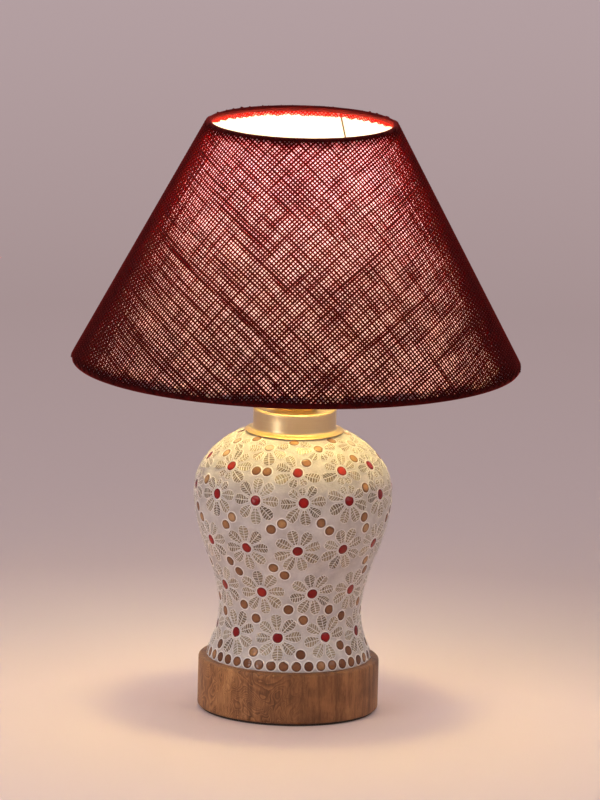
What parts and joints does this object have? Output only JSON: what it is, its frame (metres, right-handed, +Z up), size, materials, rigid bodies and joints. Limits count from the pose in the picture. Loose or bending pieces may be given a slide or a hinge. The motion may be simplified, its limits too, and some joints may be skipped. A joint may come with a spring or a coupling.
{
  "type": "mosaic glass table lamp",
  "caption": "Mosaic glass table lamp with a grouted flower-tile vase on a turned wooden plinth, a brass cap and a conical jute shade.",
  "frame": {"origin": "centre of the underside of the plinth's felt", "axes": "+Z up along the lamp's axis, front towards -Y, cord inlet at the back (+Y)"},
  "size_m": [0.3032, 0.3032, 0.4031],
  "materials": {
    "felt": "matte felt",
    "wood": "satin oiled hardwood with swirling grain",
    "bush_rubber": "matte",
    "zinc_steel": "zinc plated",
    "vase_glass": "clear",
    "grout": "matte white cement grout",
    "red_glass": "polished translucent red",
    "amber_glass": "polished amber brown",
    "silver_glass": "silver backed clear glass",
    "brass": "satin lacquered",
    "porcelain": "white glaze",
    "contact_brass": "bare",
    "jute_cloth": "open weave dyed jute",
    "liner_cloth": "translucent white",
    "white_wire": "white paint",
    "fibre_washer": "matte vulcanised fibre",
    "black_glass": "opaque black",
    "nickel": "nickel plated",
    "bulb_glass": "frosted, lit",
    "stem_glass": "clear",
    "filament": "glowing"
  },
  "bodies": {
    "stand": {"base_felt": "felt", "wood_base": "wood", "cord_bush": "bush_rubber", "base_washer": "zinc_steel", "base_nut": "zinc_steel", "threaded_tube": "zinc_steel", "glass_vase": "vase_glass", "grout_layer": "grout", "red_disc_tiles": "red_glass", "amber_disc_tiles": "amber_glass", "border_disc_tiles": "amber_glass", "petal_tiles_shoulder": "silver_glass", "petal_tiles_belly": "silver_glass", "petal_tiles_waist": "silver_glass", "brass_cap": "brass", "holder_cap": "brass", "holder_shell": "brass", "holder_insert": "porcelain", "holder_screw_shell": "contact_brass", "holder_centre_contact": "contact_brass", "terminal_screws": "zinc_steel"},
    "shade": {"shade_fabric": "jute_cloth", "shade_liner": "liner_cloth", "shade_top_ring": "white_wire", "shade_bottom_ring": "white_wire", "fitter_arms": "white_wire", "fitter_hub": "white_wire"},
    "ring_lift": {"ring_washer": "fibre_washer"},
    "ring": {"shade_ring_nut": "brass"},
    "bulb_foot": {"bulb_contact": "contact_brass", "bulb_insulator": "black_glass"},
    "bulb": {"bulb_screw_cap": "nickel", "bulb_envelope": "bulb_glass", "bulb_stem": "stem_glass", "bulb_filament": "filament"}
  },
  "joints": [
    {"name": "shade_turn", "type": "hinge", "parent": "stand", "child": "shade", "pos_m": [0, 0, 0.24], "axis": [0, 0, 1], "continuous": true},
    {"name": "ring_rise", "type": "slide", "parent": "stand", "child": "ring_lift", "axis": [0, 0, 1], "range_m": [0, 0.0151]},
    {"name": "ring_turn", "type": "hinge", "parent": "ring_lift", "child": "ring", "pos_m": [0, 0, 0.245], "axis": [0, 0, 1], "range_deg": [0, 2160]},
    {"name": "bulb_rise", "type": "slide", "parent": "stand", "child": "bulb_foot", "axis": [0, 0, 1], "range_m": [0, 0.0165]},
    {"name": "bulb_turn", "type": "hinge", "parent": "bulb_foot", "child": "bulb", "pos_m": [0, 0, 0.24], "axis": [0, 0, 1], "range_deg": [0, 1620]}
  ],
  "couplings": [
    {"joint": "ring_rise", "follows": "ring_turn", "m_per_rad": 0.00039789},
    {"joint": "bulb_rise", "follows": "bulb_turn", "m_per_rad": 0.00057757}
  ]
}
